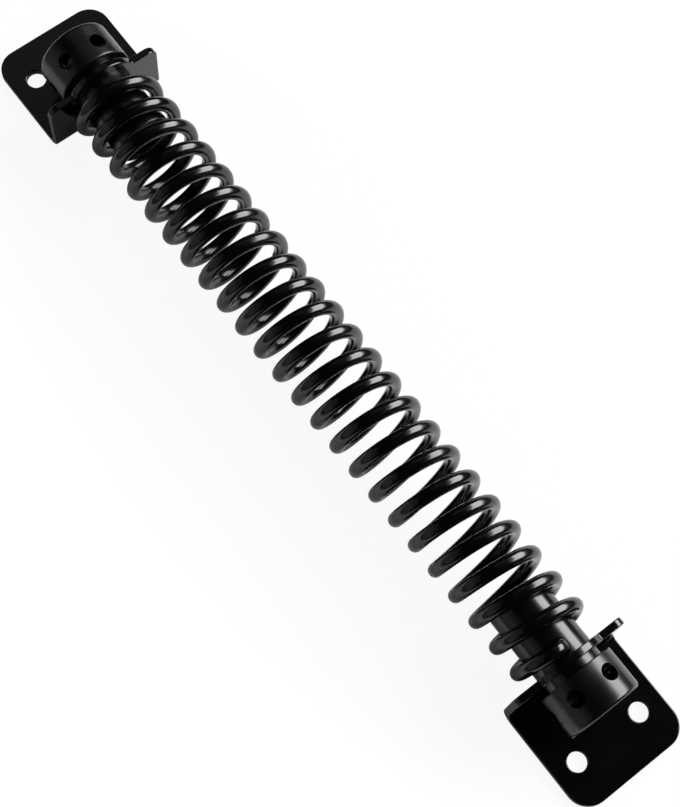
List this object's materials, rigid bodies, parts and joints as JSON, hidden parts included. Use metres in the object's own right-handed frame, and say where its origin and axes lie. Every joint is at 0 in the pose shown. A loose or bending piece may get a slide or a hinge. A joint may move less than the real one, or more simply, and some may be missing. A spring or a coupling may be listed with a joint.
{
  "type": "gate spring closer",
  "caption": "Coil torsion spring between two winding collars, each turning in a folded screw-on bracket, that pulls a gate shut.",
  "frame": {"origin": "midway between the two brackets, on the plane of the plates' backs", "axes": "+X along the spring from the upper bracket to the lower one, +Z away from the surface that the plates are screwed to, +Y across the plates"},
  "size_m": [0.254, 0.034, 0.0265],
  "materials": {
    "bracket_paint": "gloss",
    "winder_paint": "gloss",
    "spring_paint": "gloss"
  },
  "bodies": {
    "lower_bracket": {"lower_bracket": "bracket_paint"},
    "lower_winder": {"lower_barrel": "winder_paint", "lower_collar": "winder_paint", "coil_spring": "spring_paint"},
    "upper_winder": {"upper_barrel": "winder_paint", "upper_collar": "winder_paint"},
    "upper_bracket": {"upper_bracket": "bracket_paint"}
  },
  "joints": [
    {"name": "lower_swivel", "type": "hinge", "parent": "lower_bracket", "child": "lower_winder", "pos_m": [0.0965, 0, 0.014], "axis": [1, 0, 0], "continuous": true},
    {"name": "spring_twist", "type": "hinge", "parent": "lower_winder", "child": "upper_winder", "pos_m": [0, 0, 0.014], "axis": [1, 0, 0], "range_deg": [0, 170], "stiffness_Nm_per_rad": 1.35, "deforming": ["coil_spring"]},
    {"name": "upper_swivel", "type": "hinge", "parent": "upper_winder", "child": "upper_bracket", "pos_m": [-0.0965, 0, 0.014], "axis": [1, 0, 0], "continuous": true}
  ]
}
